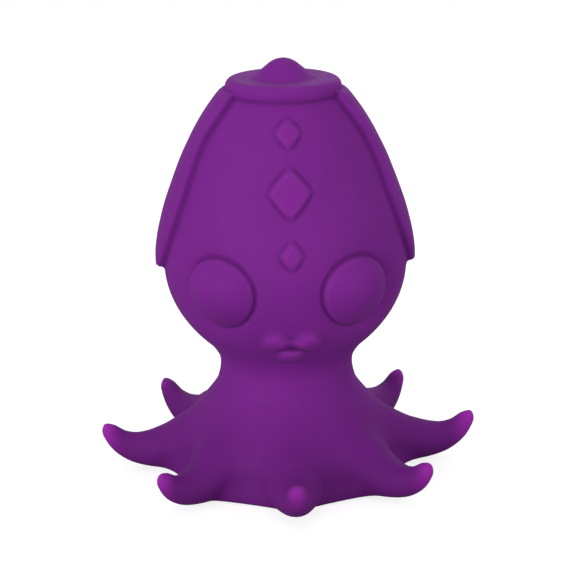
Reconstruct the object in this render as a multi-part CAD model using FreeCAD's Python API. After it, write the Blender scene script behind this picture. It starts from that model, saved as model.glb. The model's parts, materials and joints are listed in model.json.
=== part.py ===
import FreeCAD, Part
import math
import os

# A rechargeable hand-held massager in the form of an octopus: a silicone skin with eight arms
# over a plastic casing that holds a cell, a vibration motor and a push-button board.
# Units are millimetres. +Z is up, the face looks along -Y, and the origin is on the
# resting plane under the head's axis.

# ---------------------------------------------------------------- driving dimensions
TOTAL_HEIGHT = 110.0
ARM_SPAN = 96.6
ARM_NAMES = ["front", "front_right", "right", "back_right", "back", "back_left", "left", "front_left"]
SKIN_WALL = 2.2
CASING_WALL = 1.6
EASY_GAP = 0.1          # skin over casing, and other easy fits
MOVING_GAP = 0.35       # between the arms and their sockets
CUT_RUN = 1.0           # holes and cuts run on this far past what they cut
SLOPE_STEP = 1.0        # the head's slope is taken over this much height on both sides

# outer outline of the skin, as (radius, height)
SKIRT_LINE = [(26.0, 2.6), (25.0, 7.0), (22.0, 14.0), (19.0, 20.5), (17.5, 26.5), (17.6, 31.6)]
HEAD_LINE = [(17.6, 31.6), (22.4, 38.0), (27.3, 44.0), (30.6, 52.0), (31.5, 59.5), (30.3, 68.0),
             (27.7, 76.0), (24.6, 84.0), (20.8, 92.0), (14.8, 100.3)]
HEM_ROUND = 2.6
NECK_CAVITY_RADIUS = 15.0
NECK_CAVITY_TOP = 31.0
ROOF_RADIUS = 13.4      # the cavity's flat top under the crown

# crown: a rolled brim round a push-button dome
BRIM_RADIUS = 15.4
BRIM_BOTTOM = 100.3
BRIM_TOP = 105.2
BRIM_LIP = 2.4
TROUGH_DEPTH = 0.5
DOME_RADIUS = 6.1
DOME_BASE = 103.0
DOME_GAP = 0.3
DOME_CURVE = [(6.1, 104.8), (4.9, 107.3), (2.6, 109.3), (0.0, TOTAL_HEIGHT)]
BUTTON_TRAVEL = 0.8

# ear-like flaps down the sides of the head
FLAP_THICKNESS = 2.1
FLAP_OVERLAP = 0.6
FLAP_FRONT_EDGE = [(7.9, 101.0), (9.2, 92.0), (11.1, 82.0), (12.4, 71.0), (8.6, 60.5)]     # depth, height
FLAP_END = (0.0, 56.5)

# face
EYE_PLACE = (17.3, 56.0)        # sideways, height
EYE_HALF_SIZES = (7.6, 10.8)    # across, along
EYE_LEAN = 50.0                 # degrees, tops outwards
EYE_DEPTH = 5.0
EYE_PROUD = 1.4
DIAMONDS = [(94.5, 6.2, 8.4), (81.2, 10.4, 13.0), (66.7, 6.2, 7.4)]   # height, width, length
DIAMOND_PROUD = 0.8
DIAMOND_ROOT = 1.6
LIPS = [(-4.2, 45.0, 3.4, 2.3), (4.2, 45.0, 3.4, 2.3), (0.0, 40.0, 3.5, 1.9)]   # x, z, half sizes
LIP_DEPTH = 2.2
LIP_SUNK = 0.4

# arms: centre line and half thickness, as (distance from the axis, height, radius)
ARM_LINE = [(29.0, 6.3, 5.7), (33.0, 5.6, 5.2), (37.0, 5.4, 4.7), (41.0, 6.1, 4.0), (44.0, 7.7, 3.2),
            (45.7, 9.3, 2.6)]
ARM_ROOT_LINE = [(12.0, 15.0, 9.0), (20.0, 10.6, 8.0), (29.0, 6.5, 6.4)]
ARM_FLEX_UP = 35.0
ARM_FLEX_DOWN = 20.0
FLEX_ROOM = 3.0         # degrees beyond each end of the flex
ARM_STAND_OFF = 0.35    # arms clear the resting plane by this much

# casing and what it holds
HEAD_WIDEST = 40.0          # beyond anything in the head, for tools that cut right across it
FOOT_RADIUS = 19.8
FOOT_TOP = 6.3
FLANGE_RADIUS = 19.6
FLANGE_BOTTOM = 2.8
CASING_TOP = 98.8
CASING_SEAT = 100.7
FLOOR_TOP = 7.4
FLOOR_THICKNESS = 1.3
PLUNGER_RADIUS = 2.3
PLUNGER_HEAD = (5.4, 1.4)                                                       # radius, height
CASING_SCREWS = [(-19.0, 46.0), (19.0, 46.0), (-17.5, 79.0), (17.5, 79.0)]     # x, z
CASING_SCREW_LENGTH = 13.0
BASE_SCREW_LENGTH = 4.2
SCREW_SEAT_Y = 6.0
SCREW_SHANK = 1.0
SCREW_HEAD = 1.9
SCREW_HEAD_HEIGHT = 1.2
RECESS = (2.4, 0.5, 0.6)                                                        # length, width, depth
HOLE_GAP = 0.05
HEAD_GAP = 0.2
BOSS_RADIUS = 2.9

CELL_RADIUS = 7.0
CELL_BOTTOM = 9.0
CELL_TOP = 54.0
CELL_RIBS = [24.0, 44.0]
RIB_THICKNESS = 1.6
CELL_TERMINAL = (2.2, 0.9)  # radius, height
CELL_EDGE = 0.8
PAD_RADIUS = 6.4
PAD_THICKNESS = 1.5
PROTECTION_THICKNESS = 0.8
FIT_GAP = 0.05
LEAD_RADIUS = 0.5
LEAD_BEND = 0.45            # share of the shorter run that each bend takes up
LEAD_BAY = (10.3, 0.0)      # the charging leads pass the cell here
BAY_RADIUS = 1.9

MOTOR_HEIGHT = 68.0
MOTOR_RADIUS = 8.0
MOTOR_BACK = -12.0
MOTOR_FRONT = 8.0
MOTOR_WALL = 0.8
MOTOR_NOSE = 3.0
MOTOR_SHAFT = 1.0
SHAFT_LENGTH = 31.0
RUNNING_GAP = 0.03
BUSH_RADIUS = 1.8
BUSH_LENGTH = 2.0
END_CAP_THICKNESS = 2.0
ARMATURE_RADIUS = 5.3
ARMATURE_START = -7.5
ARMATURE_LENGTH = 11.0
POLES = 3
WINDING_SLOT = (1.6, 2.2)   # width, distance from the axis
MAGNET_RING_START = -8.5
MAGNET_RING_LENGTH = 13.0
TERMINAL_SIZE = (1.0, 1.2, 1.4)
TERMINAL_PLACES = [-1.0, 1.0]
SLEEVE_RADIUS = 9.5
SLEEVE_LENGTH = 16.0
MOTOR_RIBS = [-9.0, 3.0]
CRADLE_REACH = (8.0, 11.0)  # how far the ribs go below and above the motor's axis
CRADLE_MOUTH = (11.5, 6.0)  # radius of the round way through the ribs' upper part, and where it starts
WEIGHT_RADIUS = 6.5
WEIGHT_START = 10.5
WEIGHT_LENGTH = 6.0
WEIGHT_HUB = 2.4

BOARD_RADIUS = 16.5
BOARD_BOTTOM = 88.0
BOARD_THICKNESS = 1.2
LEDGE_GRIP = 1.5
SWITCH_SIZE = 6.0
SWITCH_TOP = 92.6
STEM_RADIUS = 1.75
STEM_TOP = 94.0
STEM_SUNK = 1.0
CHIPS = [(8.0, 5.0, 5.0, 5.0, 0.9), (-8.0, 5.0, 3.0, 3.0, 0.9), (7.0, -5.0, 2.0, 1.2, 0.6),
         (10.5, -4.0, 2.0, 1.2, 0.6), (-8.5, -4.0, 4.0, 1.8, 1.0)]              # x, y and sizes
LED = (0.0, -9.0, 1.6, 0.8, 0.7)
SOCKETS = {"motor": (-10.0, 0.0), "cell": (-1.0, 11.0), "charge": (-1.0, -11.0)}
SOCKET_SIZE = (5.0, 4.0, 3.0)
MOTOR_LEAD_ROUTE = [(-15.1, 75.5), (-11.4, 80.5)]                               # x, height
CELL_LEAD_ROUTE = [(6.0, 59.5), (10.6, 63.5), (13.0, 69.5), (13.2, 75.5), (12.2, 80.5)]     # y, height
CELL_LEAD_START = 4.4
CHARGE_LEAD_ROUTE = [(10.6, 0.0, 17.0), (10.1, 0.0, 28.0), (10.5, 0.0, 39.0), (10.3, -0.3, 49.0),
                     (6.5, -8.0, 55.0), (1.0, -12.2, 61.5), (-1.0, -13.0, 70.0), (-1.0, -12.2, 78.0)]
LEAD_SPREAD = 2.0
CHARGE_LEAD_SPREAD = 1.6

COVER_RADIUS = 19.4
COVER_BOTTOM = 0.6
COVER_TOP = 2.6
COVER_EDGE = 0.4
COVER_SCREW_CIRCLE = 17.2
COVER_SCREW_ANGLES = [90.0, 210.0, 330.0]
COVER_SEAT = 1.3
SEAL_RADII = (14.7, 13.5)
SEAL_SUNK = 0.7
LOCATING_RING = (13.2, 12.0, 1.9)                                               # radii, height
CONTACT_PITCH = 7.0
CONTACT_RADIUS = 1.2
CONTACT_COLLAR = (1.8, 0.6)
CONTACT_BOTTOM = 0.4
MAGNET_OFFSET = 6.5
MAGNET_RADIUS = 2.5
MAGNET_THICKNESS = 1.6
MAGNET_SKIN = 0.8           # cover left under the magnets
CHARGE_BOARD = (12.9, 4.5, 1.0)                                                 # radius, bottom, thickness

Vector = FreeCAD.Vector
Z_AXIS = Vector(0, 0, 1)
Y_AXIS = Vector(0, 1, 0)
X_AXIS = Vector(1, 0, 0)
ORIGIN = Vector(0, 0, 0)


# ---------------------------------------------------------------- small helpers
def at(radius, height):
    return Vector(radius, 0, height)


def line(a, b):
    return Part.LineSegment(at(*a), at(*b)).toShape()


def arc(a, middle, b):
    return Part.Arc(at(*a), at(*middle), at(*b)).toShape()


def smooth_curve(points):
    curve = Part.BSplineCurve()
    curve.interpolate([at(*p) for p in points])
    return curve


def inner_points(points, distance):
    """The points of a rising outline moved inwards, square to the outline."""
    curve = smooth_curve(points)
    moved = []
    for p in points:
        along = curve.tangent(curve.parameter(at(*p)))[0]
        outward = Vector(along.z, 0, -along.x)
        q = at(*p) - outward * distance
        moved.append((q.x, q.z))
    return moved


def turned(edges):
    """A solid of revolution about Z from the edges of a closed half outline."""
    return Part.Face(Part.Wire(edges)).revolve(ORIGIN, Z_AXIS, 360)


def rod(radius, length, base, direction=Z_AXIS):
    return Part.makeCylinder(radius, length, base, direction)


def along_x(x):
    """A point on the motor's axis."""
    return Vector(x, 0, MOTOR_HEIGHT)


def tube(outer, inner, length, base, direction=Z_AXIS):
    return rod(outer, length, base, direction).cut(rod(inner, length, base, direction))


def block(size, centre_bottom):
    sx, sy, sz = size
    x, y, z = centre_bottom
    return Part.makeBox(sx, sy, sz, Vector(x - sx / 2, y - sy / 2, z))


def merged(first, others):
    return first.fuse(others).removeSplitter()


def egg_stretched(half_sizes, centre, spin=0.0, lean=0.0):
    """An ellipsoid of the half sizes (across, outwards, up), leant in its own plane and spun about Z."""
    matrix = FreeCAD.Matrix()
    matrix.scale(*half_sizes)
    shape = Part.makeSphere(1.0).transformGeometry(matrix)
    shape.rotate(ORIGIN, Y_AXIS, lean)
    shape.rotate(ORIGIN, Z_AXIS, spin)
    shape.translate(Vector(*centre))
    return shape


def head_radius(height):
    """Radius of the head's outer surface at a height."""
    level = Part.makeLine(at(0, height), at(ARM_SPAN, height))
    return smooth_curve(HEAD_LINE).toShape().section(level).Vertexes[0].X


def horn(line_points):
    """A solid through round sections along a bent centre line in the XZ plane."""
    sections = []
    last = len(line_points) - 1
    for i, (r, z, size) in enumerate(line_points):
        before = line_points[max(i - 1, 0)]
        after = line_points[min(i + 1, last)]
        along = Vector(after[0] - before[0], 0, after[1] - before[1])
        sections.append(Part.Wire(Part.makeCircle(size, at(r, z), along)))
    return Part.makeLoft(sections, True)


def around(shape, index):
    """A copy of a shape made on the +X side, turned to arm number index, counted from the front."""
    copy = shape.copy()
    copy.rotate(ORIGIN, Z_AXIS, -90.0 + index * 360.0 / len(ARM_NAMES))
    return copy


def lead(points, radius=LEAD_RADIUS):
    """A round wire along straight runs joined by tangent arcs."""
    path = [Vector(*p) for p in points]
    edges = []
    start = path[0]
    for before, corner, after in zip(path, path[1:], path[2:]):
        back = (before - corner).normalize()
        on = (after - corner).normalize()
        turn = math.pi - back.getAngle(on)
        shorter = min((before - corner).Length, (after - corner).Length)
        cut = LEAD_BEND * shorter
        bend = cut / math.tan(turn / 2)
        first = corner + back * cut
        last = corner + on * cut
        middle_way = (back + on).normalize()
        middle = corner + middle_way * (bend / math.cos(turn / 2) - bend)
        edges.append(Part.LineSegment(start, first).toShape())
        edges.append(Part.Arc(first, middle, last).toShape())
        start = last
    edges.append(Part.LineSegment(start, path[-1]).toShape())
    spine = Part.Wire(edges)
    section = Part.Wire(Part.makeCircle(radius, path[0], path[1] - path[0]))
    return spine.makePipeShell([section], True, False)


# ---------------------------------------------------------------- silicone skin
def cavity_curve():
    """The inside of the head's wall, from the neck up to the roof under the crown."""
    head_inside = inner_points(HEAD_LINE, SKIN_WALL)[1:-1]
    roof = (ROOF_RADIUS, CASING_TOP + EASY_GAP)
    return smooth_curve([(NECK_CAVITY_RADIUS, NECK_CAVITY_TOP)] + head_inside + [roof]).toShape()


def skin_outline():
    """Edges of the skin's half section: outside from hem to crown, then back down the cavity."""
    roof = CASING_TOP + EASY_GAP
    well = DOME_RADIUS + DOME_GAP
    hem = SKIRT_LINE[0][0]
    corner = HEM_ROUND * (1 - math.sqrt(0.5))
    brim_lip = (BRIM_RADIUS - BRIM_LIP, BRIM_TOP)
    trough = (well, BRIM_TOP - TROUGH_DEPTH)
    return [
        line((FOOT_RADIUS, 0), (hem - HEM_ROUND, 0)),
        arc((hem - HEM_ROUND, 0), (hem - corner, corner), SKIRT_LINE[0]),
        smooth_curve(SKIRT_LINE).toShape(),
        smooth_curve(HEAD_LINE).toShape(),
        arc(HEAD_LINE[-1], (BRIM_RADIUS, (BRIM_BOTTOM + BRIM_TOP) / 2), brim_lip),
        line(brim_lip, trough),
        line(trough, (well, roof)),
        line((well, roof), (ROOF_RADIUS, roof)),
        cavity_curve(),
        line((NECK_CAVITY_RADIUS, NECK_CAVITY_TOP), (NECK_CAVITY_RADIUS, FOOT_TOP)),
        line((NECK_CAVITY_RADIUS, FOOT_TOP), (FOOT_RADIUS, FOOT_TOP)),
        line((FOOT_RADIUS, FOOT_TOP), (FOOT_RADIUS, 0)),
    ]


def keep_out():
    """The skin's whole inside, cavity and button well, as one plain solid to cut from additions."""
    roof = CASING_TOP + EASY_GAP
    return turned([
        line((0, -CUT_RUN), (FOOT_RADIUS, -CUT_RUN)),
        line((FOOT_RADIUS, -CUT_RUN), (FOOT_RADIUS, FOOT_TOP)),
        line((FOOT_RADIUS, FOOT_TOP), (NECK_CAVITY_RADIUS, FOOT_TOP)),
        line((NECK_CAVITY_RADIUS, FOOT_TOP), (NECK_CAVITY_RADIUS, NECK_CAVITY_TOP)),
        cavity_curve(),
        line((ROOF_RADIUS, roof), (0, roof)),
        line((0, roof), (0, -CUT_RUN)),
    ])


def flaps():
    """The two ear-like flaps: a thick layer on the head, trimmed to a tongue in side view."""
    outer = smooth_curve(inner_points(HEAD_LINE[2:], -FLAP_THICKNESS))
    inner = smooth_curve(inner_points(HEAD_LINE[2:], FLAP_OVERLAP))
    low_out, high_out = outer.value(0), outer.value(outer.LastParameter)
    low_in, high_in = inner.value(0), inner.value(inner.LastParameter)
    layer = Part.Face(Part.Wire([
        outer.toShape(),
        Part.LineSegment(high_out, high_in).toShape(),
        inner.toShape(),
        Part.LineSegment(low_in, low_out).toShape(),
    ])).revolve(ORIGIN, Z_AXIS, 360)
    front = [(-y, z) for y, z in FLAP_FRONT_EDGE]
    edge = Part.BSplineCurve()
    edge.interpolate([Vector(-ARM_SPAN, y, z) for y, z in front + [FLAP_END] + FLAP_FRONT_EDGE[::-1]])
    top = Part.makeLine(edge.value(edge.LastParameter), edge.value(0))
    tongue = Part.Face(Part.Wire([edge.toShape(), top]))
    return layer.common(tongue.extrude(Vector(2 * ARM_SPAN, 0, 0)))


def eye(side):
    x, z = EYE_PLACE
    r = head_radius(z)
    spin = math.degrees(math.asin(x / r))
    out = Vector(x * side, -math.sqrt(r * r - x * x), 0).normalize()
    centre = out * (r - EYE_DEPTH + EYE_PROUD) + Vector(0, 0, z)
    across, along = EYE_HALF_SIZES
    return egg_stretched((across, EYE_DEPTH, along), centre, spin * side, EYE_LEAN * side)


def diamond(height, width, length):
    """A raised lozenge on the forehead, square to the surface at its middle."""
    r = head_radius(height)
    change = head_radius(height - SLOPE_STEP) - head_radius(height + SLOPE_STEP)
    slope = math.atan2(change, 2 * SLOPE_STEP)
    corners = [Vector(-width / 2, 0, 0), Vector(0, 0, length / 2), Vector(width / 2, 0, 0),
               Vector(0, 0, -length / 2)]
    outline = Part.Face(Part.makePolygon(corners + corners[:1]))
    lozenge = outline.extrude(Vector(0, -(DIAMOND_PROUD + DIAMOND_ROOT), 0))
    lozenge.translate(Vector(0, DIAMOND_ROOT, 0))
    lozenge.rotate(ORIGIN, X_AXIS, -math.degrees(slope))
    lozenge.translate(Vector(0, -r, height))
    return lozenge


def lip(x, z, half_width, half_height):
    r = head_radius(z)
    centre = (x, LIP_SUNK - math.sqrt(r * r - x * x), z)
    return egg_stretched((half_width, LIP_DEPTH, half_height), centre)


def below_plane(height):
    return block((2 * ARM_SPAN, 2 * ARM_SPAN, ARM_SPAN), (0, 0, height - ARM_SPAN))


def arm_swing():
    """The room that an arm needs beyond its hinge, over its whole flex, as a prism on the +X side."""
    r, z, size = ARM_LINE[0]
    reach = 2 * size
    half_width = size + MOVING_GAP
    up = math.radians(90.0 + ARM_FLEX_UP + FLEX_ROOM)
    down = math.radians(-90.0 - ARM_FLEX_DOWN - FLEX_ROOM)
    corners = [(r, z), (r + reach * math.cos(up), z + reach * math.sin(up)),
               (r + 2 * reach, z + reach * math.sin(up)), (r + 2 * reach, z - reach),
               (r + reach * math.cos(down), z + reach * math.sin(down))]
    outline = [Vector(x, -half_width, h) for x, h in corners]
    return Part.Face(Part.makePolygon(outline + outline[:1])).extrude(Vector(0, 2 * half_width, 0))


def arm_socket():
    r, z, size = ARM_LINE[0]
    half_width = size + MOVING_GAP
    return rod(size + MOVING_GAP, 2 * half_width, Vector(r, -half_width, z), Y_AXIS)


def silicone_skin():
    skin = turned(skin_outline())
    arms = range(len(ARM_NAMES))
    additions = [flaps(), eye(1), eye(-1)] + [diamond(*d) for d in DIAMONDS] + [lip(*p) for p in LIPS]
    additions += [around(horn(ARM_ROOT_LINE), i) for i in arms]
    inside = keep_out()
    for extra in additions:
        skin = skin.fuse(extra.cut(inside))
    sockets = [around(tool, i) for i in arms for tool in (arm_swing(), arm_socket())]
    return skin.cut(sockets + [below_plane(0)])


def arm():
    """One arm on the +X side: a curled horn with a round knuckle that turns in the skirt's socket."""
    r, z, size = ARM_LINE[0]
    tip_r, tip_z, tip_size = ARM_LINE[-1]
    half_width = size - MOVING_GAP
    knuckle = rod(size, 2 * half_width, Vector(r, -half_width, z), Y_AXIS)
    tip = Part.makeSphere(tip_size, at(tip_r, tip_z))
    return merged(horn(ARM_LINE), [knuckle, tip]).cut(below_plane(ARM_STAND_OFF))


# ---------------------------------------------------------------- crown button
def button_dome():
    return turned([
        line((0, DOME_BASE), (DOME_RADIUS, DOME_BASE)),
        line((DOME_RADIUS, DOME_BASE), DOME_CURVE[0]),
        smooth_curve(DOME_CURVE).toShape(),
        line((0, TOTAL_HEIGHT), (0, DOME_BASE)),
    ])


def button_plunger():
    """A disc under the dome, clear of the casing by the travel, on a stem down to the switch."""
    radius, height = PLUNGER_HEAD
    head = rod(radius, height, Vector(0, 0, DOME_BASE - height))
    stem = rod(PLUNGER_RADIUS, DOME_BASE - height - STEM_TOP, Vector(0, 0, STEM_TOP))
    return merged(head, [stem])


def switch_stem():
    return rod(STEM_RADIUS, STEM_TOP - SWITCH_TOP + STEM_SUNK, Vector(0, 0, SWITCH_TOP - STEM_SUNK))


# ---------------------------------------------------------------- casing
def casing_solid(inset, top, neck):
    """The casing's filled-in form, its surface inset from the skin's outside."""
    head_line = inner_points(HEAD_LINE, inset)[1:-1]
    shoulder = ROOF_RADIUS - (inset - SKIN_WALL)
    curve = smooth_curve([(neck, NECK_CAVITY_TOP)] + head_line + [(shoulder, top)])
    return turned([
        line((0, FLANGE_BOTTOM), (neck, FLANGE_BOTTOM)),
        line((neck, FLANGE_BOTTOM), (neck, NECK_CAVITY_TOP)),
        curve.toShape(),
        line((shoulder, top), (0, top)),
        line((0, top), (0, FLANGE_BOTTOM)),
    ])


def cell_ribs(outside, bay):
    ribs = []
    for height in CELL_RIBS:
        slab = rod(HEAD_WIDEST, RIB_THICKNESS, Vector(0, 0, height)).common(outside)
        ribs.append(slab.cut([rod(CELL_RADIUS + EASY_GAP, TOTAL_HEIGHT, ORIGIN), bay]))
    return ribs


def motor_cradle(outside):
    """Two cross walls that grip the motor's rubber sleeve from both sides."""
    below, above = CRADLE_REACH
    room = rod(SLEEVE_RADIUS + FIT_GAP, 2 * HEAD_WIDEST, along_x(-HEAD_WIDEST), X_AXIS)
    mouth_radius, mouth_start = CRADLE_MOUTH
    mouth = rod(mouth_radius, TOTAL_HEIGHT, Vector(0, 0, MOTOR_HEIGHT + mouth_start))
    ribs = []
    for x in MOTOR_RIBS:
        size = (RIB_THICKNESS, 2 * HEAD_WIDEST, below + above)
        slab = block(size, (x + RIB_THICKNESS / 2, 0, MOTOR_HEIGHT - below)).common(outside)
        ribs.append(slab.cut([room, mouth]))
    return ribs


def board_ledge(outside):
    """A ledge round the inside with a groove that the main board's edge sits in."""
    height = 2 * RIB_THICKNESS + BOARD_THICKNESS
    ledge = rod(HEAD_WIDEST, height, Vector(0, 0, BOARD_BOTTOM - RIB_THICKNESS)).common(outside)
    groove = rod(BOARD_RADIUS + EASY_GAP, BOARD_THICKNESS + 2 * FIT_GAP, Vector(0, 0, BOARD_BOTTOM - FIT_GAP))
    return ledge.cut([rod(BOARD_RADIUS - LEDGE_GRIP, TOTAL_HEIGHT, ORIGIN), groove])


def screw_bosses(outside):
    return [rod(BOSS_RADIUS, 2 * HEAD_WIDEST, Vector(x, -HEAD_WIDEST, z), Y_AXIS).common(outside)
            for x, z in CASING_SCREWS]


def casing_holes():
    bottom = CASING_TOP - CASING_WALL - CUT_RUN
    holes = [rod(PLUNGER_RADIUS + EASY_GAP, CASING_SEAT + CUT_RUN - bottom, Vector(0, 0, bottom))]
    depth = CASING_SCREW_LENGTH + CUT_RUN
    for x, z in CASING_SCREWS:
        holes.append(rod(SCREW_SHANK + HOLE_GAP, depth, Vector(x, SCREW_SEAT_Y - depth, z), Y_AXIS))
        holes.append(rod(SCREW_HEAD + HEAD_GAP, HEAD_WIDEST, Vector(x, SCREW_SEAT_Y, z), Y_AXIS))
    for angle in COVER_SCREW_ANGLES:
        holes.append(rod(SCREW_SHANK + HOLE_GAP, FOOT_TOP + CUT_RUN, cover_screw_place(angle, 0)))
    return holes


def casing():
    """Both halves in one: shell, foot flange, button seat, floor, ribs, bosses and holes."""
    neck = NECK_CAVITY_RADIUS - EASY_GAP
    outside = casing_solid(SKIN_WALL + EASY_GAP, CASING_TOP, neck)
    inside = casing_solid(SKIN_WALL + EASY_GAP + CASING_WALL, CASING_TOP - CASING_WALL, neck - CASING_WALL)
    bay = rod(BAY_RADIUS, TOTAL_HEIGHT, Vector(LEAD_BAY[0], LEAD_BAY[1], 0))
    flange_height = FOOT_TOP - EASY_GAP - FLANGE_BOTTOM
    flange = tube(FLANGE_RADIUS, neck - CASING_WALL, flange_height, Vector(0, 0, FLANGE_BOTTOM))
    button_seat = rod(PLUNGER_HEAD[0] + HEAD_GAP, CASING_SEAT - CASING_TOP, Vector(0, 0, CASING_TOP))
    floor = rod(neck - FIT_GAP, FLOOR_THICKNESS, Vector(0, 0, FLOOR_TOP - FLOOR_THICKNESS)).cut(bay)
    additions = [flange, button_seat, floor, board_ledge(outside)]
    additions += cell_ribs(outside, bay) + motor_cradle(outside) + screw_bosses(outside)
    return outside.cut(inside).fuse(additions).cut(casing_holes())


def casing_half(whole, side):
    """The half of the casing on one side of the XZ plane: -1 is the front, 1 the rear."""
    size = (2 * HEAD_WIDEST, HEAD_WIDEST, TOTAL_HEIGHT)
    return whole.common(block(size, (0, side * HEAD_WIDEST / 2, 0)))


def pan_screw(length):
    """A pan-head screw standing on its head, shank upwards from the origin, with a cross recess."""
    head = rod(SCREW_HEAD, SCREW_HEAD_HEIGHT, Vector(0, 0, -SCREW_HEAD_HEIGHT))
    across, width, depth = RECESS
    bars = [(across, width, depth), (width, across, depth)]
    recess = [block(size, (0, 0, -SCREW_HEAD_HEIGHT)) for size in bars]
    return merged(head, [rod(SCREW_SHANK, length, ORIGIN)]).cut(recess)


def casing_screws():
    screws = []
    for x, z in CASING_SCREWS:
        screw = pan_screw(CASING_SCREW_LENGTH)
        screw.rotate(ORIGIN, X_AXIS, 90)
        screw.translate(Vector(x, SCREW_SEAT_Y, z))
        screws.append(screw)
    return Part.makeCompound(screws)


# ---------------------------------------------------------------- foot and charging
def cover_screw_place(angle, height):
    a = math.radians(angle)
    return Vector(COVER_SCREW_CIRCLE * math.cos(a), COVER_SCREW_CIRCLE * math.sin(a), height)


def base_cover():
    """The round cover under the foot, with a locating ring, screw holes, contact holes and pockets."""
    disc = rod(COVER_RADIUS, COVER_TOP - COVER_BOTTOM, Vector(0, 0, COVER_BOTTOM))
    rim = [e for e in disc.Edges if len(e.Vertexes) == 1 and e.BoundBox.ZMax < COVER_TOP]
    disc = disc.makeFillet(COVER_EDGE, rim)
    outer, inner, height = LOCATING_RING
    ring = tube(outer, inner, height, Vector(0, 0, COVER_TOP))
    cuts = [tube(*SEAL_RADII, SEAL_SUNK, Vector(0, 0, COVER_TOP - SEAL_SUNK))]
    for angle in COVER_SCREW_ANGLES:
        cuts.append(rod(SCREW_HEAD + HEAD_GAP, COVER_SEAT, cover_screw_place(angle, COVER_BOTTOM)))
        cuts.append(rod(SCREW_SHANK + HOLE_GAP, COVER_TOP, cover_screw_place(angle, COVER_BOTTOM)))
    pocket = MAGNET_RADIUS + EASY_GAP
    for side in (-1, 1):
        cuts.append(rod(CONTACT_RADIUS + HOLE_GAP, COVER_TOP, Vector(side * CONTACT_PITCH / 2, 0, 0)))
        cuts.append(rod(pocket, COVER_TOP, Vector(0, side * MAGNET_OFFSET, COVER_BOTTOM + MAGNET_SKIN)))
    return disc.fuse(ring).cut(cuts)


def base_seal():
    """A flat rubber ring in the cover's groove, proud of it up to the casing's flange."""
    outer, inner = SEAL_RADII
    height = FLANGE_BOTTOM - COVER_TOP + SEAL_SUNK
    return tube(outer - FIT_GAP, inner + FIT_GAP, height, Vector(0, 0, COVER_TOP - SEAL_SUNK))


def base_screws():
    screws = []
    for angle in COVER_SCREW_ANGLES:
        screw = pan_screw(BASE_SCREW_LENGTH)
        screw.translate(cover_screw_place(angle, COVER_BOTTOM + COVER_SEAT))
        screws.append(screw)
    return Part.makeCompound(screws)


def charge_contacts():
    radius, height = CONTACT_COLLAR
    pins = []
    for side in (-1, 1):
        x = side * CONTACT_PITCH / 2
        pin = rod(CONTACT_RADIUS, CHARGE_BOARD[1] - CONTACT_BOTTOM, Vector(x, 0, CONTACT_BOTTOM))
        pins.append(merged(pin, [rod(radius, height, Vector(x, 0, COVER_TOP + FIT_GAP))]))
    return Part.makeCompound(pins)


def charge_magnets():
    height = COVER_BOTTOM + MAGNET_SKIN
    return Part.makeCompound([rod(MAGNET_RADIUS, MAGNET_THICKNESS, Vector(0, side * MAGNET_OFFSET, height))
                              for side in (-1, 1)])


def charge_board():
    radius, bottom, thickness = CHARGE_BOARD
    return rod(radius, thickness, Vector(0, 0, bottom))


# ---------------------------------------------------------------- cell
def cell():
    body = rod(CELL_RADIUS, CELL_TOP - CELL_BOTTOM, Vector(0, 0, CELL_BOTTOM))
    body = body.makeFillet(CELL_EDGE, [e for e in body.Edges if len(e.Vertexes) == 1])
    radius, height = CELL_TERMINAL
    return merged(body, [rod(radius, height, Vector(0, 0, CELL_TOP))])


def cell_pads():
    """A foam disc under the cell and a foam ring round its terminal."""
    radius, height = CELL_TERMINAL
    lower = rod(PAD_RADIUS, PAD_THICKNESS, Vector(0, 0, CELL_BOTTOM - PAD_THICKNESS - FIT_GAP))
    upper = tube(PAD_RADIUS, radius + 2 * HEAD_GAP, height, Vector(0, 0, CELL_TOP + FIT_GAP))
    return Part.makeCompound([lower, upper])


def protection_bottom():
    return CELL_TOP + CELL_TERMINAL[1] + 2 * FIT_GAP


def protection_board():
    """The round board on the cell that guards it against overcharge."""
    return rod(PAD_RADIUS, PROTECTION_THICKNESS, Vector(0, 0, protection_bottom()))


# ---------------------------------------------------------------- motor
def motor_can():
    inner = MOTOR_RADIUS - MOTOR_WALL
    length = MOTOR_FRONT - MOTOR_BACK
    shell = rod(MOTOR_RADIUS, length, along_x(MOTOR_BACK), X_AXIS)
    shell = shell.cut(rod(inner, length - MOTOR_WALL, along_x(MOTOR_BACK), X_AXIS))
    nose = rod(MOTOR_NOSE, BUSH_LENGTH - MOTOR_WALL, along_x(MOTOR_FRONT), X_AXIS)
    return shell.fuse(nose).cut(rod(BUSH_RADIUS, length, along_x(0), X_AXIS))


def motor_end_cap():
    inner = MOTOR_RADIUS - MOTOR_WALL - FIT_GAP
    plate = rod(MOTOR_RADIUS, END_CAP_THICKNESS, along_x(MOTOR_BACK - END_CAP_THICKNESS), X_AXIS)
    spigot = tube(inner, ARMATURE_RADIUS + HEAD_GAP, 2 * MOTOR_WALL, along_x(MOTOR_BACK), X_AXIS)
    bore = rod(BUSH_RADIUS, 2 * END_CAP_THICKNESS, along_x(MOTOR_BACK - END_CAP_THICKNESS), X_AXIS)
    return plate.fuse(spigot).cut(bore)


def motor_terminals():
    """Two tabs on the end cap that the leads are soldered to."""
    sx, sy, sz = TERMINAL_SIZE
    x = MOTOR_BACK - END_CAP_THICKNESS - sx / 2
    return Part.makeCompound([block((sx, sy, sz), (x, y, MOTOR_HEIGHT + sz)) for y in TERMINAL_PLACES])


def motor_bushes():
    """Sintered bushes: one in the can's nose, one in the end cap."""
    starts = [MOTOR_FRONT - MOTOR_WALL, MOTOR_BACK - END_CAP_THICKNESS]
    return Part.makeCompound([tube(BUSH_RADIUS, MOTOR_SHAFT + RUNNING_GAP, BUSH_LENGTH, along_x(x), X_AXIS)
                              for x in starts])


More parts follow.
